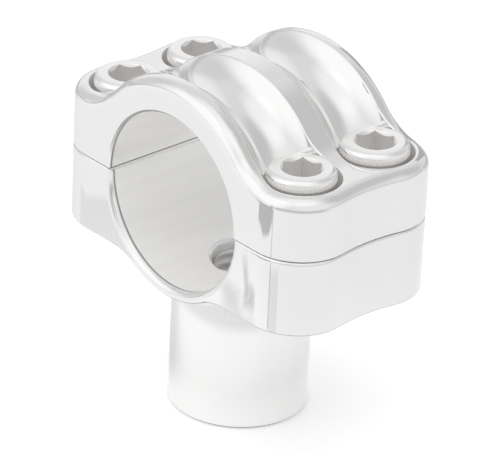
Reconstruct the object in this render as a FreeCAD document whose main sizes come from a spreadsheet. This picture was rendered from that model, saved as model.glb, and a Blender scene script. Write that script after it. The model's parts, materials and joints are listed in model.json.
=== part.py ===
# Motorcycle bar riser: a stem with a two-piece clamp for a 1-1/4 inch handlebar.
#
# Frame: origin at the centre of the stem's foot, Z up the stem, Y along the handlebar,
# X across the clamp from ear to ear. Millimetres. The clamp splits on a level plane
# through the bar's axis: the body has the lower half of the bore, the cap the upper half.

import FreeCAD, Part
import math
import os
import Sketcher

# Driving dimensions, in millimetres
SIZES = {
    # the bar and the clamp around it
    "bar_diameter": 31.75,
    "bore_height": 42.8,
    "clamp_width": 34.8,
    "screw_axis_to_bore": 6.2,
    "screw_pitch_along": 16.4,
    "ear_waist_radius": 34.0,
    # the body: lower half of the clamp, and the stem
    "ear_depth": 13.8,
    "saddle_wall": 1.8,
    "saddle_blend_radius": 12.0,
    "mouth_lip_radius": 1.2,
    "body_split_radius": 0.7,
    "underside_edge_radius": 0.3,
    "stem_diameter": 24.3,
    "stem_blend_radius": 2.5,
    "stem_foot_chamfer": 0.4,
    # the hole through the stem, tapped for a 1/2-13 bolt
    "stem_tap_diameter": 10.8,
    "stem_foot_hole_diameter": 13.2,
    "stem_mouth_radius": 1.0,
    # the cap
    "arch_wall": 6.0,
    "ear_height": 11.2,
    "arch_blend_radius": 12.0,
    "rim_radius": 2.2,
    "cap_mouth_chamfer": 0.4,
    "cap_split_chamfer": 0.2,
    "trough_inset": 0.85,
    "trough_depth": 4.0,
    "trough_edge_radius": 0.3,
    # the 5/16-18 socket head cap screws and their holes
    "screw_diameter": 7.94,
    "screw_length": 12.7,
    "screw_tip_chamfer": 0.9,
    "head_diameter": 11.9,
    "head_height": 7.94,
    "head_edge_radius": 0.8,
    "socket_flats": 6.35,
    "socket_depth": 4.0,
    "socket_mouth_diameter": 7.28,
    "seat_height": 5.1,
    "head_clearance": 0.95,
    "shank_clearance": 0.25,
    "thread_clearance": 0.03,
    "tip_clearance": 1.9,
}

# Sizes that follow from the driving ones
DERIVED = {
    "bore": "(<bar_diameter> / 2)",
    "half_width": "(<clamp_width> / 2)",
    "across": "(<bore> + <screw_axis_to_bore>)",
    "along": "(<screw_pitch_along> / 2)",
    "lobe": "(<half_width> - <along>)",
    "arch": "(<bore> + <arch_wall>)",
    "saddle": "(<bore> + <saddle_wall>)",
    "counterbore": "(<head_diameter> / 2 + <head_clearance>)",
    "half_trough": "(<counterbore> - <trough_inset>)",
    "trough_ball": "((<half_trough> ^ 2 + <trough_depth> ^ 2) / (2 * <trough_depth>))",
    "socket_corner": "(<socket_flats> / sqrt(3))",
}

DRILL_POINT = 118.0
CUT_MARGIN = 4.0
EDGE_SLACK = 0.1

doc = FreeCAD.newDocument("BarRiser")
sheet = doc.addObject("Spreadsheet::Sheet", "Sizes")
for row, (alias, number) in enumerate(SIZES.items(), start=1):
    sheet.set(f"A{row}", alias)
    sheet.set(f"B{row}", str(number))
    sheet.setAlias(f"B{row}", alias)
doc.recompute()


def bound(expression):
    """The expression with every <name> replaced by its cell or by its formula over cells."""
    while "<" in expression:
        start, end = expression.index("<"), expression.index(">")
        name = expression[start + 1:end]
        meaning = DERIVED[name] if name in DERIVED else f"Sizes.{name}"
        expression = expression[:start] + meaning + expression[end + 1:]
    return expression


def value(expression):
    """The present value of an expression, for the first placing of sketch geometry."""
    return float(sheet.evalExpression(bound(expression)))


def vector(x, y):
    return FreeCAD.Vector(x, y, 0)


# Bodies and sketches

def new_body(name):
    body = doc.addObject("PartDesign::Body", name)
    body.Label = name
    return body


def new_feature(body, kind, name, **settings):
    feature = body.newObject(f"PartDesign::{kind}", name)
    for key, setting in settings.items():
        setattr(feature, key, setting)
    return feature


def origin_plane(body, role):
    return next(item for item in body.Origin.OriginFeatures if item.Role == role)


def new_sketch(body, name, role, raised=None, lifted=None, upside_down=False):
    """A sketch on an origin plane: raised along the plane's normal, or lifted within the plane."""
    sketch = body.newObject("Sketcher::SketchObject", name)
    sketch.AttachmentSupport = (origin_plane(body, role), "")
    sketch.MapMode = "FlatFace"
    if upside_down:
        sketch.AttachmentOffset = FreeCAD.Placement(FreeCAD.Vector(), FreeCAD.Rotation(0, 0, 180))
    if raised:
        sketch.setExpression("AttachmentOffset.Base.z", bound(raised))
    if lifted:
        sketch.setExpression("AttachmentOffset.Base.y", bound(lifted))
    return sketch


START, END, CENTRE = range(1, 4)
ORIGIN = (-1, 1)


def dimension(sketch, kind, *where, size):
    """A sketch dimension that follows the driving dimensions."""
    index = sketch.addConstraint(Sketcher.Constraint(kind, *where, value(size)))
    sketch.setExpression(f"Constraints[{index}]", bound(size))


def fix_point(sketch, edge, end, x, y):
    """Place one point of an edge by its two coordinates from the sketch's origin."""
    dimension(sketch, "DistanceX", *ORIGIN, edge, end, size=x)
    dimension(sketch, "DistanceY", *ORIGIN, edge, end, size=y)


def add_line(sketch, start, end):
    return sketch.addGeometry(Part.LineSegment(vector(*start), vector(*end)), False)


def add_arc(sketch, centre, radius, start_angle, end_angle):
    circle = Part.Circle(vector(*centre), FreeCAD.Vector(0, 0, 1), radius)
    return sketch.addGeometry(Part.ArcOfCircle(circle, start_angle, end_angle), False)


def add_circle(sketch, x, y, radius):
    circle = Part.Circle(vector(value(x), value(y)), FreeCAD.Vector(0, 0, 1), value(radius))
    edge = sketch.addGeometry(circle, False)
    fix_point(sketch, edge, CENTRE, x, y)
    dimension(sketch, "Radius", edge, size=radius)


def join(sketch, kind, first, first_end, second, second_end):
    sketch.addConstraint(Sketcher.Constraint(kind, first, first_end, second, second_end))


def add_polygon(sketch, corners):
    """A closed outline of straight edges through corners given as pairs of expressions."""
    points = [(value(x), value(y)) for x, y in corners]
    edges = [add_line(sketch, start, end) for start, end in zip(points, points[1:] + points[:1])]
    for edge, following in zip(edges, edges[1:] + edges[:1]):
        join(sketch, "Coincident", edge, END, following, START)
    for edge, (x, y) in zip(edges, corners):
        fix_point(sketch, edge, START, x, y)


def edges_where(feature, test):
    """Names of the edges whose sampled points all pass a test of x, y and z."""
    names = []
    for number, edge in enumerate(feature.Shape.Edges, start=1):
        points = edge.discretize(7)
        if all(test(point.x, point.y, point.z) for point in points):
            names.append(f"Edge{number}")
    return names


def near(first, second, tolerance=0.02):
    return abs(first - second) < tolerance


def dress(body, kind, name, base, size, test):
    """A fillet or a chamfer on the edges of the base feature that pass the test."""
    doc.recompute()
    feature = body.newObject(f"PartDesign::{kind}", name)
    feature.Base = (base, edges_where(base, test))
    feature.setExpression("Radius" if kind == "Fillet" else "Size", bound(size))
    return feature


# Shapes that the body and the cap share

def clamp_outline(body, name, height):
    """Plan of the clamp: a lobe around each screw, straight mouth faces and waisted ear ends."""
    sketch = new_sketch(body, name, "XY_Plane", raised=height)
    across, along, lobe = value("<across>"), value("<along>"), value("<lobe>")
    waist = value("<ear_waist_radius>")
    waist_centre = across + math.sqrt((waist + lobe) ** 2 - along ** 2)
    lean = math.atan2(along, waist_centre - across)
    quarter = math.pi / 2
    back_right = add_arc(sketch, (across, along), lobe, -lean, quarter)
    back_mouth = add_line(sketch, (across, along + lobe), (-across, along + lobe))
    back_left = add_arc(sketch, (-across, along), lobe, quarter, math.pi + lean)
    left_waist = add_arc(sketch, (-waist_centre, 0), waist, -lean, lean)
    front_left = add_arc(sketch, (-across, -along), lobe, math.pi - lean, 3 * quarter)
    front_mouth = add_line(sketch, (-across, -along - lobe), (across, -along - lobe))
    front_right = add_arc(sketch, (across, -along), lobe, -quarter, lean)
    right_waist = add_arc(sketch, (waist_centre, 0), waist, math.pi - lean, math.pi + lean)
    join(sketch, "Tangent", back_right, END, back_mouth, START)
    join(sketch, "Tangent", back_mouth, END, back_left, START)
    join(sketch, "Tangent", back_left, END, left_waist, END)
    join(sketch, "Tangent", left_waist, START, front_left, START)
    join(sketch, "Tangent", front_left, END, front_mouth, START)
    join(sketch, "Tangent", front_mouth, END, front_right, START)
    join(sketch, "Tangent", front_right, END, right_waist, END)
    join(sketch, "Tangent", right_waist, START, back_right, START)
    fix_point(sketch, back_right, CENTRE, "<across>", "<along>")
    fix_point(sketch, back_left, CENTRE, "-<across>", "<along>")
    fix_point(sketch, front_left, CENTRE, "-<across>", "-<along>")
    fix_point(sketch, front_right, CENTRE, "<across>", "-<along>")
    for lobe_edge in (back_right, front_left):
        dimension(sketch, "Radius", lobe_edge, size="<lobe>")
    for waist_edge in (left_waist, right_waist):
        dimension(sketch, "Radius", waist_edge, size="<ear_waist_radius>")
    return sketch


def outside_wall():
    """A test for points that lie on the clamp's outer wall, seen in plan."""
    across, along, lobe = value("<across>"), value("<along>"), value("<lobe>")
    waist = value("<ear_waist_radius>")
    waist_centre = across + math.sqrt((waist + lobe) ** 2 - along ** 2)

    def on_wall(x, y):
        on_mouth = abs(x) < across + EDGE_SLACK and near(abs(y), along + lobe)
        on_lobe = near(math.hypot(abs(x) - across, abs(y) - along), lobe)
        on_waist = near(math.hypot(waist_centre - abs(x), y), waist)
        return on_mouth or on_lobe or on_waist

    return on_wall


def blend_centre(hump, level, blend):
    """The centre of the concave blend between a round hump and a level ear, from the bore's axis."""
    height = value(level) + value(blend)
    return math.sqrt((value(hump) + value(blend)) ** 2 - height ** 2), height


def cut_past_wave(body, name, hump, level, blend, upside_down):
    """Cut along the bar all that lies past a wave: level ears, concave blends and a round hump.

    The hump is concentric with the bore. The wave is the cap's top, or upside down the
    underside of the body.
    """
    sketch = new_sketch(body, f"{name}Profile", "XZ_Plane", lifted="<bore_height>", upside_down=upside_down)
    reach = f"(<across> + <lobe> + {CUT_MARGIN})"
    far_side = f"({hump} + 2 * {CUT_MARGIN})"
    side, top = value(reach), value(far_side)
    hump_radius, ear_y, blend_radius = value(hump), value(level), value(blend)
    blend_x, blend_y = blend_centre(hump, level, blend)
    lean = math.atan2(blend_y, blend_x)
    down = 3 * math.pi / 2
    left_ear = add_line(sketch, (-side, ear_y), (-blend_x, ear_y))
    left_blend = add_arc(sketch, (-blend_x, blend_y), blend_radius, down, 2 * math.pi - lean)
    crest = add_arc(sketch, (0, 0), hump_radius, lean, math.pi - lean)
    right_blend = add_arc(sketch, (blend_x, blend_y), blend_radius, math.pi + lean, down)
    right_ear = add_line(sketch, (blend_x, ear_y), (side, ear_y))
    right_side = add_line(sketch, (side, ear_y), (side, top))
    lid = add_line(sketch, (side, top), (-side, top))
    left_side = add_line(sketch, (-side, top), (-side, ear_y))
    join(sketch, "Tangent", left_ear, END, left_blend, START)
    join(sketch, "Tangent", left_blend, END, crest, END)
    join(sketch, "Tangent", crest, START, right_blend, START)
    join(sketch, "Tangent", right_blend, END, right_ear, START)
    join(sketch, "Coincident", right_ear, END, right_side, START)
    join(sketch, "Coincident", right_side, END, lid, START)
    join(sketch, "Coincident", lid, END, left_side, START)
    join(sketch, "Coincident", left_side, END, left_ear, START)
    sketch.addConstraint(Sketcher.Constraint("Coincident", crest, CENTRE, *ORIGIN))
    sketch.addConstraint(Sketcher.Constraint("Horizontal", left_ear))
    sketch.addConstraint(Sketcher.Constraint("Horizontal", right_ear))
    dimension(sketch, "Radius", crest, size=hump)
    for blend_edge in (left_blend, right_blend):
        dimension(sketch, "Radius", blend_edge, size=blend)
    fix_point(sketch, left_ear, START, f"-{reach}", level)
    fix_point(sketch, right_ear, END, reach, level)
    fix_point(sketch, lid, START, reach, far_side)
    fix_point(sketch, lid, END, f"-{reach}", far_side)
    return new_feature(body, "Pocket", name, Profile=sketch, SideType="Symmetric", Type="ThroughAll")


def cut_bore(body):
    sketch = new_sketch(body, "BoreCircle", "XZ_Plane", lifted="<bore_height>")
    add_circle(sketch, "0", "0", "<bore>")
    return new_feature(body, "Pocket", "Bore", Profile=sketch, SideType="Symmetric", Type="ThroughAll")


def break_bore_edges(body, size, upside_down):
    """Bevel the two straight edges where the bore meets the split plane."""
    sketch = new_sketch(body, "BoreEdgeBevels", "XZ_Plane", lifted="<bore_height>", upside_down=upside_down)
    for side in ("", "-"):
        add_polygon(sketch, [
            (f"{side}(<bore> + {size})", "0"),
            (f"{side}(<bore> - {size})", f"2 * {size}"),
            (f"{side}(<bore> - {size})", "0"),
        ])
    return new_feature(body, "Pocket", "BoreEdges", Profile=sketch, SideType="Symmetric", Type="ThroughAll")


def screw_circles(body, name, radius, height):
    """A circle around each of the four screws' axes."""
    sketch = new_sketch(body, name, "XY_Plane", raised=height)
    for x in ("<across>", "-<across>"):
        for y in ("<along>", "-<along>"):
            add_circle(sketch, x, y, radius)
    return sketch


def turned_cut(body, name, sketch, axis, angle=None):
    """Material turned away about an axis of the sketch: all round, or over an angle about the sketch."""
    cut = new_feature(body, "Groove", name, Profile=sketch, ReferenceAxis=(sketch, [axis]))
    if angle:
        cut.Midplane = True
        cut.setExpression("Angle", bound(angle))
    return cut


def mirror(body, name, originals, *roles):
    """Repeat features on the other side of each origin plane in turn."""
    transform = body.newObject("PartDesign::MultiTransform", name)
    steps = []
    for role in roles:
        step = body.newObject("PartDesign::Mirrored", f"{name}{role[:2]}")
        step.MirrorPlane = (origin_plane(body, role), [""])
        steps.append(step)
    transform.Originals = originals
    transform.Transformations = steps
    body.Tip = transform
    return transform


# The body

def make_riser_body():
    body = new_body("riser_body")
    split_height = value("<bore_height>")
    stem_radius = value("<stem_diameter> / 2")
    saddle_bottom = value("<bore_height> - <saddle>")
    ear_bottom = value("<bore_height> - <ear_depth>")

    outline = clamp_outline(body, "BodyOutline", "<bore_height>")
    block = new_feature(body, "Pad", "Block", Profile=outline, Reversed=True)
    block.setExpression("Length", bound(f"<saddle> + {CUT_MARGIN}"))
    dress(body, "Fillet", "SplitEdge", block, "<body_split_radius>", lambda x, y, z: near(z, split_height))
    underside = cut_past_wave(body, "Underside", "<saddle>", "<ear_depth>", "<saddle_blend_radius>", True)

    on_wall = outside_wall()
    dress(body, "Fillet", "UndersideEdge", underside, "<underside_edge_radius>",
          lambda x, y, z: on_wall(x, y) and saddle_bottom - EDGE_SLACK < z < ear_bottom + EDGE_SLACK)

    foot = new_sketch(body, "StemCircle", "XY_Plane")
    add_circle(foot, "0", "0", "<stem_diameter> / 2")
    stem = new_feature(body, "Pad", "Stem", Profile=foot)
    stem.setExpression("Length", bound("<bore_height>"))

    def on_stem_top(x, y, z):
        return near(math.hypot(x, y), stem_radius) and saddle_bottom - EDGE_SLACK < z

    blend = dress(body, "Fillet", "StemBlend", stem, "<stem_blend_radius>", on_stem_top)
    dress(body, "Chamfer", "StemFoot", blend, "<stem_foot_chamfer>", lambda x, y, z: near(z, 0))
    cut_bore(body)
    break_bore_edges(body, "<body_split_radius>", upside_down=True)

    lip = new_sketch(body, "MouthLipProfile", "YZ_Plane", lifted="<bore_height>")
    add_mouth_lip(lip, "<mouth_lip_radius>")
    turned = turned_cut(body, "MouthLip", lip, "H_Axis")
    mirror(body, "MouthLips", [turned], "XZ_Plane")

    hole = new_sketch(body, "StemHoleProfile", "XZ_Plane")
    tap, foot_mouth = "<stem_tap_diameter> / 2", "<stem_foot_hole_diameter> / 2"
    add_polygon(hole, [
        ("0", "0"),
        (foot_mouth, "0"),
        (tap, f"{foot_mouth} - {tap}"),
        (tap, "<bore_height>"),
        ("0", "<bore_height>"),
    ])
    drilled = turned_cut(body, "StemHole", hole, "V_Axis")
    bore, tap_radius = value("<bore>"), value(tap)

    def on_hole_mouth(x, y, z):
        return near(math.hypot(x, y), tap_radius) and near(math.hypot(x, z - split_height), bore)

    dress(body, "Fillet", "StemHoleMouth", drilled, "<stem_mouth_radius>", on_hole_mouth)

    circles = screw_circles(body, "TappedHoleCircles", "<screw_diameter> / 2", "<bore_height>")
    doc.recompute()
    tapped = new_feature(body, "Hole", "TappedHoles", Profile=circles, DepthType="Dimension")
    tapped.DrillPoint = "Angled"
    tapped.DrillPointAngle = DRILL_POINT
    tapped.setExpression("Diameter", bound("<screw_diameter> + 2 * <thread_clearance>"))
    tapped.setExpression("Depth", bound("<screw_length> - <seat_height> + <tip_clearance>"))
    return body


def add_mouth_lip(sketch, radius):
    """What a rounded lip of the bore's mouth takes away, in a plane through the bore's axis."""
    inner_x, outer_x = value(f"<half_width> - {radius}"), value(f"<half_width> + {CUT_MARGIN}")
    bore, lip_top = value("<bore>"), value(f"<bore> + {radius}")
    arc = add_arc(sketch, (inner_x, lip_top), value(radius), -math.pi / 2, 0)
    top = add_line(sketch, (value("<half_width>"), lip_top), (outer_x, lip_top))
    outside = add_line(sketch, (outer_x, lip_top), (outer_x, 0))
    axis = add_line(sketch, (outer_x, 0), (inner_x, 0))
    inside = add_line(sketch, (inner_x, 0), (inner_x, bore))
    join(sketch, "Coincident", arc, END, top, START)
    join(sketch, "Coincident", top, END, outside, START)
    join(sketch, "Coincident", outside, END, axis, START)
    join(sketch, "Coincident", axis, END, inside, START)
    join(sketch, "Coincident", inside, END, arc, START)
    fix_point(sketch, arc, CENTRE, f"<half_width> - {radius}", f"<bore> + {radius}")
    fix_point(sketch, arc, END, "<half_width>", f"<bore> + {radius}")
    fix_point(sketch, inside, START, f"<half_width> - {radius}", "0")
    fix_point(sketch, outside, START, f"<half_width> + {CUT_MARGIN}", f"<bore> + {radius}")
    fix_point(sketch, outside, END, f"<half_width> + {CUT_MARGIN}", "0")
    sketch.addConstraint(Sketcher.Constraint("Vertical", inside))


# The cap

def trough_edges():
    """A test for points where a trough's side meets the cap's top: the round crest or a blend."""
    along, ball, crest = value("<along>"), value("<trough_ball>"), value("<arch>")
    ball_height = value("<arch> - <trough_depth> + <trough_ball>")
    blend = value("<arch_blend_radius>")
    blend_x, blend_y = blend_centre("<arch>", "<ear_height>", "<arch_blend_radius>")

    def on_edge(x, y, z):
        up = z - value("<bore_height>")
        from_bar = math.hypot(x, up)
        on_trough = near(math.hypot(abs(y) - along, from_bar - ball_height), ball)
        on_crest = near(from_bar, crest)
        on_blend = near(math.hypot(abs(x) - blend_x, up - blend_y), blend)
        return on_trough and (on_crest or on_blend)

    return on_edge


def make_clamp_cap():
    body = new_body("clamp_cap")
    split_height = value("<bore_height>")
    half_width = value("<half_width>")
    bore = value("<bore>")
    crest_top = value("<bore_height> + <arch>")
    ear_top = value("<bore_height> + <ear_height>")

    outline = clamp_outline(body, "CapOutline", "<bore_height>")
    block = new_feature(body, "Pad", "Block", Profile=outline)
    block.setExpression("Length", bound(f"<arch> + {CUT_MARGIN}"))
    dress(body, "Chamfer", "SplitEdge", block, "<cap_split_chamfer>", lambda x, y, z: near(z, split_height))
    top = cut_past_wave(body, "Top", "<arch>", "<ear_height>", "<arch_blend_radius>", False)

    on_wall = outside_wall()
    dress(body, "Fillet", "Rim", top, "<rim_radius>",
          lambda x, y, z: on_wall(x, y) and ear_top - EDGE_SLACK < z < crest_top + EDGE_SLACK)
    bored = cut_bore(body)
    dress(body, "Chamfer", "MouthChamfer", bored, "<cap_mouth_chamfer>",
          lambda x, y, z: near(abs(y), half_width) and near(math.hypot(x, z - split_height), bore))
    break_bore_edges(body, "<cap_split_chamfer>", upside_down=False)

    ball = new_sketch(body, "TroughCircle", "YZ_Plane", lifted="<bore_height>")
    add_circle(ball, "<along>", "<arch> - <trough_depth> + <trough_ball>", "<trough_ball>")
    trough = turned_cut(body, "Trough", ball, "H_Axis", "2 * atan(<across> / <ear_height>)")
    mirror(body, "Troughs", [trough], "XZ_Plane")

    seats = screw_circles(body, "CounterboreCircles", "<counterbore>", "<bore_height> + <seat_height>")
    counterbored = new_feature(body, "Pocket", "Counterbores", Profile=seats, Reversed=True,
                               Type="ThroughAll")
    dress(body, "Fillet", "TroughEdge", counterbored, "<trough_edge_radius>", trough_edges())
    shanks = screw_circles(body, "ShankHoleCircles", "<screw_diameter> / 2 + <shank_clearance>",
                           "<bore_height>")
    new_feature(body, "Pocket", "ShankHoles", Profile=shanks, Reversed=True, Type="ThroughAll")
    return body


# The screws

def make_cap_screw(name, x, y):
    """A socket head cap screw with its head's seat at its own origin."""
    body = new_body(name)
    profile = new_sketch(body, "ScrewProfile", "XZ_Plane")
    shank, tip = "<screw_diameter> / 2", "-<screw_length>"
    add_polygon(profile, [
        ("0", "<head_height>"),
        ("0", tip),
        (f"{shank} - <screw_tip_chamfer>", tip),
        (shank, f"{tip} + <screw_tip_chamfer>"),
        (shank, "0"),
        ("<head_diameter> / 2", "0"),
        ("<head_diameter> / 2", "<head_height>"),
    ])
    turned = new_feature(body, "Revolution", "Turned", Profile=profile, ReferenceAxis=(profile, ["V_Axis"]))
    head_top, head_radius = value("<head_height>"), value("<head_diameter> / 2")
    dress(body, "Fillet", "HeadEdge", turned, "<head_edge_radius>",
          lambda x, y, z: near(z, head_top) and near(math.hypot(x, y), head_radius))

    hexagon = new_sketch(body, "SocketHexagon", "XY_Plane", raised="<head_height>")
    corners = [(f"<socket_corner> * cos({60 * turn})", f"<socket_corner> * sin({60 * turn})")
               for turn in range(6)]
    add_polygon(hexagon, corners)
    socket = new_feature(body, "Pocket", "Socket", Profile=hexagon)
    socket.setExpression("Length", bound("<socket_depth>"))
    sunk = new_sketch(body, "SocketMouthProfile", "XZ_Plane")
    add_polygon(sunk, [
        ("0", "<head_height>"),
        ("0", "<head_height> - <socket_mouth_diameter> / 2"),
        ("<socket_mouth_diameter> / 2", "<head_height>"),
    ])
    turned_cut(body, "SocketMouth", sunk, "V_Axis")
    floor = "(<head_height> - <socket_depth>)"
    drilled = new_sketch(body, "SocketPointProfile", "XZ_Plane")
    add_polygon(drilled, [
        ("0", floor),
        ("0", f"{floor} - <socket_flats> / 2 / tan({DRILL_POINT / 2})"),
        ("<socket_flats> / 2", floor),
    ])
    turned_cut(body, "SocketPoint", drilled, "V_Axis")
    body.setExpression("Placement.Base.x", bound(x))
    body.setExpression("Placement.Base.y", bound(y))
    body.setExpression("Placement.Base.z", bound("<bore_height> + <seat_height>"))
    return body


pieces = [make_riser_body(), make_clamp_cap()]
for row, y in (("front", "-<along>"), ("back", "<along>")):
    for side, x in (("left", "-<across>"), ("right", "<across>")):
        pieces.append(make_cap_screw(f"cap_screw_{row}_{side}", x, y))
doc.recompute()

# Every object has to be sound before a file is written
failed = [item.Label for item in doc.Objects if {"Invalid", "Error"} & set(item.State)]
if failed:
    raise RuntimeError(f"these features failed: {failed}")
for piece in pieces:
    if piece.Shape.isNull() or not piece.Shape.isValid() or len(piece.Shape.Solids) != 1:
        raise RuntimeError(f"{piece.Label} is not one sound solid")

os.makedirs("parts", exist_ok=True)
for piece in pieces:
    piece.Shape.exportStep(f"parts/{piece.Label}.step")
    box = piece.Shape.BoundBox
    print(f"{piece.Label}: {piece.Shape.Volume:.1f} mm3, x {box.XMin:.2f} to {box.XMax:.2f},"
          f" y {box.YMin:.2f} to {box.YMax:.2f}, z {box.ZMin:.2f} to {box.ZMax:.2f}")
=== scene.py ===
# %% [markdown]
# # A chromed motorcycle bar riser
#
# The riser is a stem with a clamp on top. The clamp is split in two on a level plane: the body
# is one casting with the stem, and a fluted cap is pulled down on it by four socket head cap
# screws. Everything is chrome plated and stands on a white table in a white tent.
#
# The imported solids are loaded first. They are exact, so the body and the cap are shown as they
# are, and this file adds what the solids leave plain: knurled screws, the thread in the stem,
# the finishes, the light and the camera.

# %% Load the solids
import json
import math

import bmesh
import bpy
from mathutils import Matrix, Vector


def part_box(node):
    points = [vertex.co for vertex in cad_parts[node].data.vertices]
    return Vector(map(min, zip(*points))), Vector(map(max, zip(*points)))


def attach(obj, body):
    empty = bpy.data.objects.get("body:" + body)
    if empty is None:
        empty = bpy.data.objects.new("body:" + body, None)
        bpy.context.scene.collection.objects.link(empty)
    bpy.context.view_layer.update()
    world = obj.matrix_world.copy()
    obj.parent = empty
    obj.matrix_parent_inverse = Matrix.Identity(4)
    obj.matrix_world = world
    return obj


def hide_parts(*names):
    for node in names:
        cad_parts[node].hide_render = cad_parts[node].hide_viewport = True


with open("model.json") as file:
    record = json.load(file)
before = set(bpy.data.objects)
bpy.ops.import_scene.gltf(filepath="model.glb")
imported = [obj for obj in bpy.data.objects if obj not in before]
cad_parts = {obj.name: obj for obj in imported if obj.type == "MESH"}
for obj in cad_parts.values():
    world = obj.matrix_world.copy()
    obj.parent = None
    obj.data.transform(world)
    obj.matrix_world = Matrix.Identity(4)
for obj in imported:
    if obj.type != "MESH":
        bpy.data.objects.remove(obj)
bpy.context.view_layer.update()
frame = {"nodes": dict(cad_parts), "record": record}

# %% [markdown]
# Sizes come from the solids wherever they can be read from them, so that a change of the solids
# carries over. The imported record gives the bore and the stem's hole, and the boxes of the nodes
# give the clamp's width and the screws' places. A millimetre is named once, because Blender
# works in metres.

# %% Sizes of the riser
MM = 0.001
TURN = 2 * math.pi
mounts = {mount["name"]: mount for mount in frame["record"]["mounts"]}
BORE_RADIUS = mounts["bar_clamp"]["dims"]["r_mm"] * MM
BORE_HEIGHT = mounts["bar_clamp"]["pos_m"][2]
THREAD_RADIUS = mounts["stem_thread"]["dims"]["r_mm"] * MM
HALF_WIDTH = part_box("riser_body")[1][1]
print(f"bore radius {BORE_RADIUS / MM:.3f} mm at height {BORE_HEIGHT / MM:.2f} mm")

# %% [markdown]
# A material in Blender is a graph of nodes. Written out node by node it is hard to read, so a
# small class wraps the output of a node: adding, multiplying or comparing two of them makes the
# Math node that does it. All other nodes come from one method, which takes the kind of node, its
# settings and what goes into its sockets.

# %% A wrapper that turns Python expressions into shader nodes
class Value:
    """The output of a shader node. Arithmetic on it adds Math nodes to the same material."""

    def __init__(self, finish, output):
        self.finish = finish
        self.output = output

    def _math(self, operation, *values):
        return self.finish.node("ShaderNodeMath", {"operation": operation}, dict(enumerate(values)))

    def __add__(self, other):
        return self._math("ADD", self, other)

    def __radd__(self, other):
        return self._math("ADD", other, self)

    def __sub__(self, other):
        return self._math("SUBTRACT", self, other)

    def __rsub__(self, other):
        return self._math("SUBTRACT", other, self)

    def __mul__(self, other):
        return self._math("MULTIPLY", self, other)

    def __rmul__(self, other):
        return self._math("MULTIPLY", other, self)

    def __truediv__(self, other):
        return self._math("DIVIDE", self, other)

    def __lt__(self, other):
        return self._math("LESS_THAN", self, other)

    def __gt__(self, other):
        return self._math("GREATER_THAN", self, other)

    def __abs__(self):
        return self._math("ABSOLUTE", self)

    def root(self):
        return self._math("SQRT", self)

    def angle_to(self, other):
        return self._math("ARCTAN2", self, other)

    def between(self, low, high):
        """0 below low, 1 above high and a soft step from one to the other."""
        return self.finish.node("ShaderNodeMapRange", {"interpolation_type": "SMOOTHSTEP"},
                                {"Value": self, "From Min": low, "From Max": high})


def length_of(first, second):
    """The length of a line that goes so far one way and so far square to it."""
    return (first * first + second * second).root()


print("expressions make nodes")


# %% The graph that the expressions build
class Finish:
    """A material, or the world, whose node graph is built by expressions."""

    def __init__(self, owner):
        owner.use_nodes = True
        self.owner = owner
        self.tree = owner.node_tree
        self.tree.nodes.clear()

    def node(self, kind, settings=None, inputs=None, output=0):
        new = self.tree.nodes.new(kind)
        for name, setting in (settings or {}).items():
            setattr(new, name, setting)
        for name, value in (inputs or {}).items():
            self.plug(new.inputs[name], value)
        return Value(self, new.outputs[output])

    def plug(self, socket, value):
        if isinstance(value, Value):
            self.tree.links.new(value.output, socket)
        else:
            socket.default_value = value

    def split(self, vector):
        """The x, y and z of a vector."""
        separate = self.node("ShaderNodeSeparateXYZ", None, {0: vector}).output.node
        return [Value(self, output) for output in separate.outputs]

    def place(self):
        """The point that is shaded, in the riser's own frame, as x, y and z in metres."""
        return self.split(self.node("ShaderNodeTexCoord", output="Object"))

    def noise(self, x, y, z, detail):
        """Soft random grain between 0 and 1, about one wave long for each unit of x, y and z."""
        where = self.node("ShaderNodeCombineXYZ", None, {0: x, 1: y, 2: z})
        return self.node("ShaderNodeTexNoise", None, {"Vector": where, "Scale": 1.0, "Detail": detail})

    def mix(self, factor, first, second):
        """A colour between two colours."""
        return self.node("ShaderNodeMix", {"data_type": "RGBA"}, {0: factor, 6: first, 7: second}, output=2)

    def blend(self, factor, first, second):
        """A shader between two shaders."""
        return self.node("ShaderNodeMixShader", None, {0: factor, 1: first, 2: second})

    def glow(self, strength):
        """A shader that shines evenly and mirrors nothing."""
        return self.node("ShaderNodeEmission", None, {"Color": (1, 1, 1, 1), "Strength": strength})

    def bump(self, strength, distance, height):
        """A normal that leans as the height rises and falls."""
        return self.node("ShaderNodeBump", None,
                         {"Strength": strength, "Distance": distance, "Height": height})

    def ray(self, kind):
        """1 where the ray that arrives is of a kind, such as the camera's or a mirrored one."""
        return self.node("ShaderNodeLightPath", output=f"Is {kind} Ray")

    def end(self, shader, kind="ShaderNodeOutputMaterial"):
        output = self.tree.nodes.new(kind)
        self.plug(output.inputs[0], shader)
        return self.owner


def new_finish(name):
    return Finish(bpy.data.materials.new(name))


print("shader wrapper ready")
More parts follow.
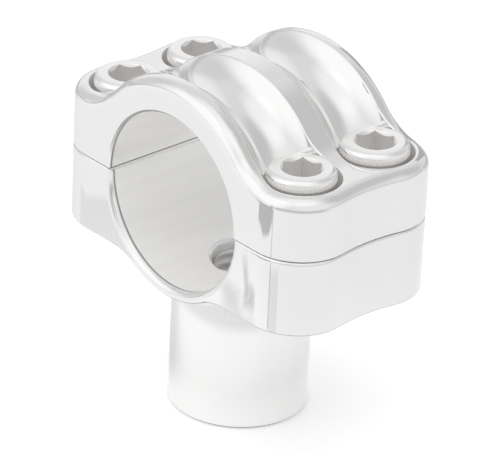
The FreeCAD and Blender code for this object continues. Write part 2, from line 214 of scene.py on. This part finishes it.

# %% [markdown]
# Chrome plate is a mirror, so nearly all that it shows is its surroundings. What makes it look
# real is what it does to them: plate over a buffed casting has a faint ripple, and the buffing
# leaves hairlines. Not every face is buffed. In the bore fine marks and broader streaks run
# along the bar, and the plate over them stays satin. The recesses round the screws' heads and
# the stem's hole look cut and pale. The underside is made duller and darker, and its dark tint
# is painted shade under the clamp.
#
# All of these are faces of one casting. It could be cut up into a material for each, but then
# the borders would follow its mesh. So one material covers it, and masks that are worked out
# from the place of the shaded point say which face it lies on.

# %% Where the screws' recesses are
HEAD_CLEARANCE = 0.95 * MM
screw_boxes = [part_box(name) for name in frame["nodes"] if name.startswith("cap_screw")]
screw_axes = [((low[0] + high[0]) / 2, (low[1] + high[1]) / 2) for low, high in screw_boxes]
RECESS_RADIUS = (screw_boxes[0][1][0] - screw_boxes[0][0][0]) / 2 + HEAD_CLEARANCE
ACROSS = max(x for x, y in screw_axes)
ALONG = max(y for x, y in screw_axes)
print(f"screws {2 * ACROSS / MM:.2f} by {2 * ALONG / MM:.2f} mm apart")
print(f"recesses {2 * RECESS_RADIUS / MM:.2f} mm wide")

# %% Masks for the faces of a casting
# A mask's soft edge lies just outside its radius, so that the whole wall is inside
MASK_START = 0.02 * MM
MASK_END = 0.12 * MM
RECESS_MASK_END = 0.06 * MM
# A little above the bore's lowest line, because the hole's mouth climbs the bore's sides
HOLE_TOP = BORE_HEIGHT - BORE_RADIUS + 1.2 * MM
# Just under the seats of the screws' heads, from the bar's axis up
RECESS_BOTTOM = 5.0 * MM
# The height of a face's normal where it is wholly an underside, and where it is none
WHOLLY_UNDER, NOT_UNDER = -0.45, -0.05


def within(distance, radius, fade=MASK_END):
    """1 inside a radius and 0 outside it."""
    return 1 - distance.between(radius + MASK_START, radius + fade)


def recess_mask(x, y, up):
    """The recess round the nearest screw. The four are mirrored, so one is enough."""
    from_screw = length_of(abs(x) - ACROSS, abs(y) - ALONG)
    return within(from_screw, RECESS_RADIUS, RECESS_MASK_END) * (up > RECESS_BOTTOM)


# The underside gets a painted shade, and this mask says where it lies
def underside_mask(finish):
    normal = finish.split(finish.node("ShaderNodeNewGeometry", output="Normal"))
    return 1 - normal[2].between(WHOLLY_UNDER, NOT_UNDER)


print(f"the stem's hole ends at {HOLE_TOP / MM:.1f} mm")

# %% [markdown]
# The bore's mouths have a narrow edge all round: a rounded lip on the body and a small bevel on
# the cap. Where that edge ends and the bore begins, a thin dark line shows. The solids have the
# edge, but plain geometry leaves the line out, so a line of tint at a set distance from the
# mouth's face stands in for it: a painted dark reflection.

# %% The painted dark line inside the bore's mouths
LINE_IN_BODY = 1.15 * MM
LINE_IN_CAP = 0.50 * MM
# The line is full to the first of these distances from its middle and gone at the second
LINE_FULL, LINE_GONE = 0.10 * MM, 0.26 * MM
# It stays on the bore's wall, and fades out between these two depths into the metal
WALL_FULL, WALL_GONE = 0.15 * MM, 0.25 * MM


# A band of dark tint in the bore's mouths: a painted dark reflection
def painted_mouth_line_mask(y, up, from_bar):
    from_mouth = HALF_WIDTH - abs(y)
    line = LINE_IN_BODY - (up > 0) * (LINE_IN_BODY - LINE_IN_CAP)
    on_line = 1 - abs(from_mouth - line).between(LINE_FULL, LINE_GONE)
    on_wall = 1 - from_bar.between(BORE_RADIUS + WALL_FULL, BORE_RADIUS + WALL_GONE)
    return on_line * on_wall


print(f"line {LINE_IN_BODY / MM:.2f} mm inside the body's mouths, {LINE_IN_CAP / MM:.2f} in the cap's")

# %% Tints and marks of the castings
CHROME_TINT = (0.868, 0.864, 0.860, 1)
SATIN_TINT = (0.985, 0.98, 0.975, 1)
SHADED_SATIN = (0.94, 0.935, 0.93, 1)
CUT_TINT = (0.96, 0.95, 0.945, 1)
# A dark tint for painted shade, on the underside and in the line inside the bore's mouths, and how much of
# the underside's colour it takes
PAINTED_SHADE_TINT = (0.34, 0.33, 0.325, 1)
UNDER_SHADE_SHARE = 0.9
# In the narrow gaps round the screws' heads light goes from plate to plate more often than a
# renderer follows it, and a faint glow stands in for that
NO_GLOW = (0, 0, 0, 1)
GAP_GLOW = (0.050, 0.048, 0.047, 1)
# How many waves of each mark go to a metre
RIPPLE_WAVES = 90
HAIRLINE_WAVES, HAIRLINE_WAVES_UP = 500, 6000
BORING_WAVES_AROUND, BORING_WAVES_ALONG = 4000, 120
STREAK_WAVES_AROUND, STREAK_WAVES_ALONG = 500, 40
# How high each mark stands, next to the others
RIPPLE_RISE, HAIRLINE_RISE, BORING_RISE = 0.05, 0.004, 0.008
# How much of the mirror is lost in the bore, where the casting was cut, and on the underside
BORE_LOSS, CUT_LOSS, UNDER_LOSS = 0.80, 0.85, 0.35
# How much rougher the last two are than polished chrome
CUT_ROUGHNESS, UNDER_ROUGHNESS = 0.25, 0.2
print(f"ripples {1000 / RIPPLE_WAVES:.0f} mm long, hairlines {1000 / HAIRLINE_WAVES_UP:.2f} mm apart")


# %% The finish of the castings
def casting_chrome(name):
    """Polished chrome, satin in the bore, duller where cut or facing down, with painted shade below."""
    finish = new_finish(name)
    x, y, z = finish.place()
    up = z - BORE_HEIGHT
    from_bar = length_of(x, up)
    in_bore = within(from_bar, BORE_RADIUS)
    in_hole = within(length_of(x, y), THREAD_RADIUS) * (z < HOLE_TOP)
    in_recess = recess_mask(x, y, up)
    cut = in_recess + in_hole - in_recess * in_hole
    under = underside_mask(finish) * (1 - in_bore)
    painted_mouth_line = painted_mouth_line_mask(y, up, from_bar)

    around = x.angle_to(up) * BORE_RADIUS
    ripple = finish.noise(x * RIPPLE_WAVES, y * RIPPLE_WAVES, z * RIPPLE_WAVES, 1.0)
    hairline = finish.noise(x * HAIRLINE_WAVES, y * HAIRLINE_WAVES, z * HAIRLINE_WAVES_UP, 3.0)
    boring = finish.noise(around * BORING_WAVES_AROUND, y * BORING_WAVES_ALONG, 0, 4.0)
    streaks = finish.noise(around * STREAK_WAVES_AROUND, y * STREAK_WAVES_ALONG, 0, 4.0)

    satin_tint = finish.mix(streaks.between(0.25, 0.80), SATIN_TINT, SHADED_SATIN)
    plate_tint = finish.mix(in_bore, CHROME_TINT, satin_tint)
    bright_tint = finish.mix(cut, plate_tint, CUT_TINT)
    polished = 0.015 + 0.025 * hairline
    satin = 0.20 + 0.06 * boring
    duller = cut * CUT_ROUGHNESS + under * UNDER_ROUGHNESS
    rise = ripple * RIPPLE_RISE + hairline * HAIRLINE_RISE + in_bore * boring * BORING_RISE
    return finish.end(finish.node("ShaderNodeBsdfPrincipled", None, {
        # The underside's painted shade and the painted dark line in the bore's mouths darken the colour
        "Base Color": finish.mix(under * UNDER_SHADE_SHARE + painted_mouth_line, bright_tint, PAINTED_SHADE_TINT),
        "Metallic": 1 - BORE_LOSS * in_bore - CUT_LOSS * cut * (1 - in_bore) - UNDER_LOSS * under,
        "Roughness": polished + in_bore * (satin - polished) + duller,
        "Emission Color": finish.mix(in_recess, NO_GLOW, GAP_GLOW),
        "Emission Strength": 1.0,
        "Normal": finish.bump(0.12, 0.1 * MM, rise),
    }))


def dress_node(name, material):
    """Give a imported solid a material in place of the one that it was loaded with."""
    piece = frame["nodes"][name]
    piece.data.materials.clear()
    piece.data.materials.append(material)
    print(f"{name}: {material.name}, {len(piece.data.polygons)} faces")


dress_node("riser_body", casting_chrome("casting chrome body"))
dress_node("clamp_cap", casting_chrome("casting chrome cap"))

# %% [markdown]
# A socket head cap screw is turned, knurled and then plated. The knurl is what the fingers grip,
# and a plain cylinder in its place is seen at once. It could be a bump in the finish, but then
# the head's outline would stay smooth, so it is made of faces. The outline is turned here about
# the screw's axis ring by ring. Rings on the side of the head move in and out with the angle,
# which makes the knurl's straight teeth, and rings in the socket follow a hexagon instead of a
# circle.

# %% The sizes of a screw
screw_low, screw_high = (Vector(corner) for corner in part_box("cap_screw_front_right"))
HEAD_RADIUS = (screw_high.x - screw_low.x) / 2
HEAD_HEIGHT = 7.94 * MM
SHANK_RADIUS = 7.94 * MM / 2
SHANK_LENGTH = screw_high.z - screw_low.z - HEAD_HEIGHT
TIP_CHAMFER = 0.9 * MM
# The foot of the head: how far the flat on the seat stays inside the head, and the edge over it
FLAT_INSET = 0.5 * MM
FOOT_EDGE = 0.25 * MM
SOCKET_HALF_FLATS = 6.35 * MM / 2
SOCKET_DEPTH = 4.0 * MM
SOCKET_MOUTH = 3.64 * MM
# The drill's point in the socket's floor: its width as a share of the socket's, and its depth
POINT_SHARE = 0.97
POINT_DEPTH = SOCKET_HALF_FLATS * 0.6
POINT_END = 0.02 * MM
print(f"head {2 * HEAD_RADIUS / MM:.2f} mm wide, shank {SHANK_LENGTH / MM:.2f} mm long")

# %% The sizes of its knurl
KNURL_TEETH = 90
STEPS_PER_TOOTH = 4
KNURL_DEPTH = 0.16 * MM
# The rounded shoulder over the knurl
KNURL_SHOULDER = 1.05 * MM
SHOULDER_STEPS = 8
KNURL_TOP = HEAD_HEIGHT - KNURL_SHOULDER
# Under the shoulder the teeth run out over a short stretch, down to a shallow neck
RUN_OUT = 0.35 * MM
RUN_OUT_SHARE = 0.15
NECK = 0.06 * MM
print(f"{KNURL_TEETH} teeth, {TURN * HEAD_RADIUS / KNURL_TEETH / MM:.2f} mm apart")


# %% The rings that make a screw
def knurl(angle):
    """How far the knurl's surface lies below its crests at an angle, from 0 to 1."""
    phase = (angle * KNURL_TEETH / TURN) % 1
    return abs(math.sin(math.pi * phase)) ** 0.7


def hexagon(angle, half_flats):
    """The distance from the axis to a hexagon's side."""
    sixth = TURN / 6
    return half_flats / math.cos(angle % sixth - sixth / 2)


def socket_rim(angle):
    return max(SOCKET_MOUTH, hexagon(angle, SOCKET_HALF_FLATS)), HEAD_HEIGHT


def sunk_mouth(angle):
    side = hexagon(angle, SOCKET_HALF_FLATS)
    return side, HEAD_HEIGHT - max(0, SOCKET_MOUTH - side)


def socket_floor(angle):
    return hexagon(angle, SOCKET_HALF_FLATS), HEAD_HEIGHT - SOCKET_DEPTH


def screw_rings():
    """Rings as functions of an angle that give a radius and a height, from the tip to the socket."""
    rings = []

    def plain(height, radius):
        rings.append(lambda angle: (radius, height))

    def gripped(height, share, drop=0.0):
        rings.append(lambda angle: (HEAD_RADIUS - drop - share * KNURL_DEPTH * knurl(angle), height))

    plain(-SHANK_LENGTH, SHANK_RADIUS - TIP_CHAMFER)
    plain(TIP_CHAMFER - SHANK_LENGTH, SHANK_RADIUS)
    plain(0, SHANK_RADIUS)
    plain(0, HEAD_RADIUS - FLAT_INSET)
    gripped(FOOT_EDGE, 0.0, FOOT_EDGE)
    gripped(2 * FOOT_EDGE, 1.0)
    gripped(KNURL_TOP - RUN_OUT, 1.0)
    gripped(KNURL_TOP, RUN_OUT_SHARE, NECK)
    for step in range(1, SHOULDER_STEPS + 1):
        lean = step / SHOULDER_STEPS * math.pi / 2
        plain(KNURL_TOP + KNURL_SHOULDER * math.sin(lean),
              HEAD_RADIUS - NECK - KNURL_SHOULDER * (1 - math.cos(lean)))
    rings += [socket_rim, sunk_mouth, socket_floor]
    plain(HEAD_HEIGHT - SOCKET_DEPTH, SOCKET_HALF_FLATS * POINT_SHARE)
    plain(HEAD_HEIGHT - SOCKET_DEPTH - POINT_DEPTH, POINT_END)
    return rings


print(len(screw_rings()), "rings to a screw")


# %% A mesh made of rings
def bridge(work, loops, inwards=False):
    """Join neighbouring loops of vertices by quads that face outwards, or inwards."""
    for lower, upper in zip(loops, loops[1:]):
        for step in range(len(lower)):
            after = (step + 1) % len(lower)
            quad = (lower[step], lower[after], upper[after], upper[step])
            work.faces.new(reversed(quad) if inwards else quad)


def smooth_mesh(work, name):
    mesh = bpy.data.meshes.new(name)
    work.to_mesh(mesh)
    work.free()
    mesh.shade_smooth()
    return mesh


def mesh_of_rings(name, rings, steps):
    """A mesh turned about Z: neighbouring rings are joined by quads, and the ends are closed."""
    work = bmesh.new()
    loops = []
    for ring in rings:
        points = [(angle, *ring(angle)) for angle in (TURN * step / steps for step in range(steps))]
        loops.append([work.verts.new((radius * math.cos(angle), radius * math.sin(angle), height))
                      for angle, radius, height in points])
    bridge(work, loops)
    work.faces.new(reversed(loops[0]))
    work.faces.new(loops[-1])
    bmesh.ops.recalc_face_normals(work, faces=work.faces)
    mesh = smooth_mesh(work, name)
    mesh.set_sharp_from_angle(angle=math.radians(35))
    return mesh


screw_mesh = mesh_of_rings("cap screw", screw_rings(), KNURL_TEETH * STEPS_PER_TOOTH)
print(f"one screw has {len(screw_mesh.polygons)} faces")

# %% [markdown]
# The screws' plate is the same chrome on a rougher ground: the head's top is turned, so it has
# fine rings about the screw's axis. Less light reaches the knurl's grooves and the socket, and
# least of all the gap between the head and its recess, so tints darken these by degrees. They
# are told apart by height and by the distance from the screw's axis, as on the castings.

# %% The finish of the screws
PLATE_TINT = (0.925, 0.92, 0.915, 1)
SHADED_TINT = (0.74, 0.725, 0.72, 1)
GAP_TINT = (0.40, 0.39, 0.385, 1)
SHADE_SHARE = 0.6
SOCKET_GLOW_SHARE = 0.4
SOCKET_LOSS, KNURL_LOSS = 0.35, 0.9
SOCKET_ROUGHNESS, KNURL_ROUGHNESS = 0.1, 0.12
RING_WAVES, RING_WAVES_UP = 9000, 2000
# The socket lies under the first of these and inside the second
SOCKET_TOP = HEAD_HEIGHT - 0.1 * MM
SOCKET_REACH = HEAD_RADIUS * 0.66
# The cap's shelf round the heads, above their seats, and where the gap's shade fades out there
SHELF_LEVEL = 6.1 * MM
GAP_FULL = SHELF_LEVEL - 0.25 * MM
GAP_GONE = SHELF_LEVEL + 0.05 * MM


def screw_chrome(name):
    finish = new_finish(name)
    x, y, z = finish.place()
    from_axis = length_of(x, y)
    rings = finish.noise(from_axis * RING_WAVES, z * RING_WAVES_UP, 0, 2.0)
    in_socket = (z < SOCKET_TOP) * (from_axis < SOCKET_REACH)
    on_knurl = (z < KNURL_TOP) * (from_axis > HEAD_RADIUS - 2 * KNURL_DEPTH)
    on_crest = from_axis.between(HEAD_RADIUS - KNURL_DEPTH, HEAD_RADIUS - 0.2 * KNURL_DEPTH)
    in_groove = on_knurl * (1 - on_crest)
    in_gap = on_knurl * (1 - z.between(GAP_FULL, GAP_GONE))
    shaded = SHADE_SHARE * (in_socket + in_groove * (1 - in_gap))
    duller = in_socket * SOCKET_ROUGHNESS + on_knurl * KNURL_ROUGHNESS
    return finish.end(finish.node("ShaderNodeBsdfPrincipled", None, {
        "Base Color": finish.mix(in_gap, finish.mix(shaded, PLATE_TINT, SHADED_TINT), GAP_TINT),
        "Metallic": 1 - SOCKET_LOSS * in_socket - KNURL_LOSS * on_knurl,
        "Roughness": 0.20 + 0.07 * rings + duller,
        # The knurl, and more faintly the socket, glow a little: painted light for the light that goes from
        # plate to plate in the gap
        "Emission Color": finish.mix(on_knurl + in_socket * SOCKET_GLOW_SHARE, NO_GLOW, GAP_GLOW),
        "Emission Strength": 1.0,
        "Normal": finish.bump(0.1, 0.05 * MM, rings),
    }))


screw_mesh.materials.append(screw_chrome("screw chrome"))
print("screws plated:", screw_mesh.materials[0].name)

# %% [markdown]
# The four screws share one mesh, and each is seated where its solid is. A screw stops turning
# where it is tight and not where it looks neat, so each has a turn of its own.

# %% The four screws
# How far each screw happened to stop turning, in degrees
SCREW_TURNS = {
    "cap_screw_front_left": 47,
    "cap_screw_front_right": 16,
    "cap_screw_back_left": 46,
    "cap_screw_back_right": 18,
}
for node_name, degrees in SCREW_TURNS.items():
    low, high = (Vector(corner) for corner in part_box(node_name))
    screw = bpy.data.objects.new(f"knurled_{node_name}", screw_mesh)
    bpy.context.collection.objects.link(screw)
    seat = Vector(((low.x + high.x) / 2, (low.y + high.y) / 2, high.z - HEAD_HEIGHT))
    screw.matrix_world = Matrix.Translation(seat) @ Matrix.Rotation(math.radians(degrees), 4, "Z")
    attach(screw, "root")
    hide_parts(node_name)
    print(f"{screw.name} seated at {[round(c / MM, 2) for c in seat]} mm")

# %% [markdown]
# Through the bore one looks down into the stem's hole, where the thread for the mounting bolt
# shows as fine dark lines. The solid's hole has the thread's inner size, so the thread is a thin
# ridged sleeve just inside that wall: a strip wound round the axis that rises by one pitch each
# turn and leans in and out once per pitch.

# %% The shape of the thread in the stem
PITCH = 25.4 / 13 * MM
RIDGE = 0.32 * MM
# A ridge would peak at this many ridge heights, and falls by so many to a pitch on its sides,
# but it is cut flat at one ridge height
RIDGE_PEAK, RIDGE_SLOPE = 1.6, 4.8
SLEEVE_GAP = 0.02 * MM
THREAD_STEPS = 72
LEVELS_PER_PITCH = 8


def thread_mesh(low, high):
    """A sleeve from low to high whose surface is a helical thread."""
    work = bmesh.new()
    levels = int((high - low) / PITCH * LEVELS_PER_PITCH)
    loops = []
    for level in range(levels + 1):
        height = low + (high - low) * level / levels
        loop = []
        for step in range(THREAD_STEPS):
            angle = TURN * step / THREAD_STEPS
            phase = (height / PITCH - step / THREAD_STEPS) % 1
            inward = RIDGE * min(1.0, max(0.0, RIDGE_PEAK - abs(phase - 0.5) * RIDGE_SLOPE))
            radius = THREAD_RADIUS - SLEEVE_GAP - inward
            loop.append(work.verts.new((radius * math.cos(angle), radius * math.sin(angle), height)))
        loops.append(loop)
    bridge(work, loops, inwards=True)
    return smooth_mesh(work, "stem thread")


print(f"the thread rises {PITCH / MM:.3f} mm each turn")

# %% The finish of the thread, and the thread in its place
DARK_STEEL = (0.86, 0.85, 0.84, 1)
LIGHT_STEEL = (0.95, 0.94, 0.93, 1)
GRAIN_WAVES, GRAIN_WAVES_UP = 900, 3000
# A lead-in at the stem's foot comes before the thread, and the hole's rounded mouth after it
THREAD_START = 1.3 * MM
MOUTH_ROUNDING = 1.0 * MM
MOUTH_GAP = 0.1 * MM


def thread_steel(name):
    """Cut steel that the plate hardly reached."""
    finish = new_finish(name)
    x, y, z = finish.place()
    grain = finish.noise(x * GRAIN_WAVES, y * GRAIN_WAVES, z * GRAIN_WAVES_UP, 3.0)
    return finish.end(finish.node("ShaderNodeBsdfPrincipled", None, {
        "Base Color": finish.mix(grain, DARK_STEEL, LIGHT_STEEL),
        "Metallic": 0.2,
        "Roughness": 0.3 + 0.2 * grain,
    }))


thread_end = BORE_HEIGHT - BORE_RADIUS - MOUTH_ROUNDING - MOUTH_GAP
thread = bpy.data.objects.new("stem_thread_lines", thread_mesh(THREAD_START, thread_end))
bpy.context.collection.objects.link(thread)
thread.data.materials.append(thread_steel("thread steel"))
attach(thread, "root")
print(f"thread from {THREAD_START / MM:.1f} to {thread_end / MM:.1f} mm")

# %% [markdown]
# The table is one wide white sheet. It keeps the riser's soft shadow, and to the camera it is
# white as far as it reaches, so it meets the white background with no line. Only close round the
# stem does it glow less to the camera, which is a painted shadow at the stem's foot.
#
# The metal mirrors the table too, and an even table would leave it without form. So to mirrored
# rays alone the table's glow is painted: brightest close round the stem and dimmer further out,
# with one dark ring, a painted shade behind the stem on the left, and dim far reaches in two
# opposite quarters. These are painted reflections. From the camera's place the flat faces mirror
# the other two quarters, so those reaches show mainly in views from the sides.

# %% How bright the table is to the camera and to the metal
TABLE_GLOW = 0.36
FAR_GLOW = 0.25
FAR_SHARE = 0.5


def shown_to_camera(from_stem):
    # Less glow within a few centimetres of the stem: a painted shadow round its foot
    return 0.88 + 0.12 * from_stem.between(16 * MM, 60 * MM)


def shown_to_metal(x, y, from_stem):
    # What the metal sees of the table: painted reflections, bright by the stem, dark in a ring and behind
    # on the left
    by_stem = from_stem.between(13 * MM, 26 * MM)
    further_out = from_stem.between(35 * MM, 100 * MM)
    dark_ring = from_stem.between(44 * MM, 50 * MM) * (1 - from_stem.between(55 * MM, 62 * MM))
    behind_left = y.between(-28 * MM, -10 * MM) * (0 - x).between(8 * MM, 22 * MM)
    return (0.90 - 0.29 * by_stem - 0.46 * further_out) * (1 - dark_ring) * (1 - 0.8 * behind_left)


def far_quarters(x, y, from_stem):
    """1 far off where x and y have opposite signs, fading to 0 in the other quarters and near by."""
    sideways = (0 - x * y) / (x * x + y * y + MM * MM)
    return sideways.between(-0.38, 0.08) * from_stem.between(110 * MM, 330 * MM)


print(f"the table's glow is {TABLE_GLOW}, and {FAR_GLOW} far off")

# %% The table
PAPER_GREY = (0.93, 0.93, 0.93, 1)
PAPER_WHITE = (0.95, 0.95, 0.95, 1)
PAPER_WAVES = 400
TABLE_REACH = 3.0


def table_white():
    """Matt paper that glows a little to the camera and to the metal."""
    finish = new_finish("table white")
    x, y, _ = finish.place()
    from_stem = length_of(x, y)
    grain = finish.noise(x * PAPER_WAVES, y * PAPER_WAVES, 0, 2.0)
    paper = finish.node("ShaderNodeBsdfPrincipled", None, {
        "Base Color": finish.mix(grain, PAPER_GREY, PAPER_WHITE),
        "Roughness": 0.55 + 0.1 * grain,
    })
    lifted = finish.node("ShaderNodeAddShader", None, {0: paper, 1: finish.glow(TABLE_GLOW)})
    to_metal = finish.ray("Glossy")
    seen = finish.ray("Camera") * shown_to_camera(from_stem) + to_metal * shown_to_metal(x, y, from_stem)
    near = finish.blend(seen, paper, lifted)
    dim = to_metal * far_quarters(x, y, from_stem) * FAR_SHARE
    return finish.end(finish.blend(dim, near, finish.glow(FAR_GLOW)))


table_corners = [(TABLE_REACH * x, TABLE_REACH * y, 0) for x, y in ((-1, -1), (1, -1), (1, 1), (-1, 1))]
table_mesh = bpy.data.meshes.new("table")
table_mesh.from_pydata(table_corners, [], [(0, 1, 2, 3)])
table_mesh.materials.append(table_white())
table = bpy.data.objects.new("table", table_mesh)
bpy.context.collection.objects.link(table)
print(f"table laid, {2 * TABLE_REACH:.0f} m wide")

# %% [markdown]
# The tent is the world: pale all round, darker where it meets the table, with a few soft
# patches that are brighter or dimmer. A mirror needs them, because in even light it has no form
# at all. They could be lamps and screens of their own, but a formula of the direction is
# quicker to tune. The camera itself sees plain white behind the riser.

# %% The tent
# Each patch of the tent: azimuth and height of its middle, how far it reaches, how far its
# edge fades, all in degrees, and how much it adds to the brightness round it
TENT_PATCHES = {
    "front panel": (-110, 28, 12, 34, 0.33),
    "roof panel": (-50, 76, 8, 34, 0.22),
    "side panel": (-20, 30, 10, 46, 0.12),
    "dim back corner": (60, 44, 5, 30, -0.17),
    "dark opening": (72, 8, 4, 26, -0.06),
    "back panel": (140, 6, 6, 36, 0.16),
    "dim left corner": (-168, 22, 2, 26, -0.08),
}
TENT_BASE = 0.79
# The dark seam where the tent meets the table: its height, half its width and its depth
SEAM_HEIGHT, SEAM_REACH, SEAM_DEPTH = 0.03, 0.08, 0.16


def direction_of(azimuth, height):
    """The unit vector towards an azimuth and a height above the horizon, in degrees."""
    azimuth, height = math.radians(azimuth), math.radians(height)
    level = math.cos(height)
    return level * math.cos(azimuth), level * math.sin(azimuth), math.sin(height)


def cosine(degrees):
    return math.cos(math.radians(degrees))


def tent(world):
    finish = Finish(world)
    direction = finish.node("ShaderNodeTexCoord", output="Generated")
    light = TENT_BASE
    for azimuth, height, reach, fade, extra in TENT_PATCHES.values():
        nearness = finish.node("ShaderNodeVectorMath", {"operation": "DOT_PRODUCT"},
                               {0: direction, 1: direction_of(azimuth, height)}, output="Value")
        light = light + extra * nearness.between(cosine(reach + fade), cosine(reach))
    from_seam = abs(finish.split(direction)[2] - SEAM_HEIGHT)
    light = light - SEAM_DEPTH * (1 - from_seam.between(0, SEAM_REACH))
    seen = light + finish.ray("Camera") * (1 - light)
    background = finish.node("ShaderNodeBackground", None, {"Color": seen, "Strength": 1.0})
    finish.end(background, "ShaderNodeOutputWorld")


world = bpy.data.worlds.new("tent")
bpy.context.scene.world = world
tent(world)
print("tent up with", len(TENT_PATCHES), "patches")

# %% [markdown]
# A photographer hangs cards round polished metal, so that it mirrors something dark here and
# there. Without them this chrome looks too even. These cards are painted reflections: each is an
# outline in space, placed where the metal mirrors it, that glows a dim grey. Its edge can be
# soft: the middle is full grey, and a band round it fades out, which a number on the mesh's
# points tells the shader. Only mirrors see the cards: they are hidden from the camera and cast
# no shade.

# %% The cards that the metal mirrors
CARD_GLOW = 0.3
# How dark each card is, how much of it its soft edge takes, and its corners in millimetres
MIRROR_CARDS = {
    "lens card": (0.62, 0.10, [(3.7, -41.1, 47.9), (20.5, -46.2, 47.0), (19.9, -43.1, 36.2),
                               (16.1, -42.5, 33.0), (8.7, -39.5, 32.6), (3.5, -35.5, 36.3)]),
    "thin card": (0.45, 0.0, [(14.4, -69.9, 0), (16.6, -70.1, 0), (16.6, -70.1, 60), (14.4, -69.9, 60)]),
    "streak card": (0.40, 0.7, [(-0.7, -35.3, 25.8), (0.3, -35.3, 26.4), (1.1, -35.3, 21.4),
                                (0.2, -35.3, 19.6)]),
    "patch card": (0.45, 0.5, [(0.4, -35.3, 21.4), (1.6, -35.3, 22.1), (2.9, -35.3, 20.8),
                               (2.7, -35.3, 17.5), (0.0, -35.3, 17.2), (0.0, -35.3, 19.4)]),
    "soft card": (0.30, 0.6, [(-6.2, -35.3, 20.6), (-1.4, -35.3, 19.6), (-1.0, -35.3, 15.0),
                              (-5.0, -35.3, 15.4)]),
    "corner card": (0.20, 0.1, [(20.0, -43.2, 3.0), (30.5, -43.4, 3.0), (30.5, -43.4, 26.3),
                                (20.0, -43.2, 26.3)]),
    "back card": (0.70, 0.12, [(-87, 170, 62), (-29, 190, 62), (-29, 190, 180), (-87, 170, 180)]),
    "side card": (0.18, 0.15, [(-67.2, -39.6, 0), (-46.8, -52.4, 0), (-46.8, -52.4, 12),
                               (-67.2, -39.6, 12)]),
}


def card_grey(name, darkness):
    """Grey where the card's depth is 1, and clear where it is 0."""
    finish = new_finish(name)
    depth = finish.node("ShaderNodeAttribute", {"attribute_name": "depth"}, output="Fac")
    clear = finish.node("ShaderNodeBsdfTransparent")
    return finish.end(finish.blend(depth * darkness, clear, finish.glow(CARD_GLOW)))


def mirror_card(name, darkness, softness, corners):
    """A card with a full middle and a fading band round it, for mirrors alone."""
    corners = [Vector(corner) * MM for corner in corners]
    middle = sum(corners, Vector()) / len(corners)
    inner = [middle + (corner - middle) * (1 - softness) for corner in corners]
    outer = [middle + (corner - middle) * (1 + softness) for corner in corners]
    count = len(corners)
    faces = [range(count)]
    for corner in range(count):
        after = (corner + 1) % count
        faces.append((corner, after, count + after, count + corner))
    mesh = bpy.data.meshes.new(name)
    mesh.from_pydata(inner + outer, [], faces)
    depth = mesh.attributes.new("depth", "FLOAT", "POINT")
    depth.data.foreach_set("value", [1.0] * count + [0.0] * count)
    mesh.materials.append(card_grey(name, darkness))
    card = bpy.data.objects.new(name, mesh)
    bpy.context.collection.objects.link(card)
    card.visible_camera = card.visible_diffuse = card.visible_shadow = False


for card_name, card_sizes in MIRROR_CARDS.items():
    mirror_card(card_name, *card_sizes)
print(len(MIRROR_CARDS), "mirror cards hung")

# %% [markdown]
# Two large soft lamps light what isn't a mirror: one from high on the left makes the shadow on
# the table, and one low in front of the bore's mouth shines into it. They are hidden from
# mirrored rays, so the metal shows the tent and not the lamps.

# %% The softboxes
# Where each stands, what it is aimed at, its width and depth in metres, and its radiance
SOFTBOXES = {
    "key softbox": ((-0.75, -0.25, 1.05), (0, 0, 0.03), 0.7, 0.5, 0.9),
    "bore softbox": ((-0.40, -0.90, 0.35), (0, 0, 0.04), 0.4, 0.4, 1.6),
}


def aimed(place, target):
    """The matrix of a lamp or a camera that stands at a place and looks at a target."""
    turned = (target - place).to_track_quat("-Z", "Y").to_matrix().to_4x4()
    return Matrix.Translation(place) @ turned


def softbox(name, place, target, width, depth, radiance):
    """A flat lamp of an even brightness, aimed at a point."""
    lamp = bpy.data.lights.new(name, "AREA")
    lamp.shape = "RECTANGLE"
    lamp.size, lamp.size_y = width, depth
    lamp.energy = radiance * math.pi * width * depth
    piece = bpy.data.objects.new(name, lamp)
    bpy.context.collection.objects.link(piece)
    piece.matrix_world = aimed(Vector(place), Vector(target))
    piece.visible_glossy = False
    print(f"{name}: {lamp.energy:.2f} W")


for softbox_name, softbox_sizes in SOFTBOXES.items():
    softbox(softbox_name, *softbox_sizes)

# %% [markdown]
# The camera stands where the photograph's did. Its place and its axes are written in the riser's
# own frame, and the long lens keeps the perspective as flat as it is there.

# %% The camera
CAMERA_PLACE = Vector((514.53, -472.73, 398.48)) * MM
AIM = Vector((0.6, 0.6, 32.5)) * MM
ROLL = math.radians(2.66)
FRAME_WIDTH = 85.4 * MM
# In millimetres, as the camera's own settings are
FILM_WIDTH = 36

camera_data = bpy.data.cameras.new("camera")
camera = bpy.data.objects.new("camera", camera_data)
bpy.context.collection.objects.link(camera)
camera.matrix_world = aimed(CAMERA_PLACE, AIM) @ Matrix.Rotation(ROLL, 4, "Z")
distance = (AIM - CAMERA_PLACE).length
camera_data.sensor_width = FILM_WIDTH
camera_data.lens = FILM_WIDTH * distance / FRAME_WIDTH
camera_data.clip_start = 0.01
bpy.context.scene.camera = camera
bpy.context.scene.view_settings.view_transform = "Standard"
print(f"lens {camera_data.lens:.0f} mm at {distance:.3f} m")
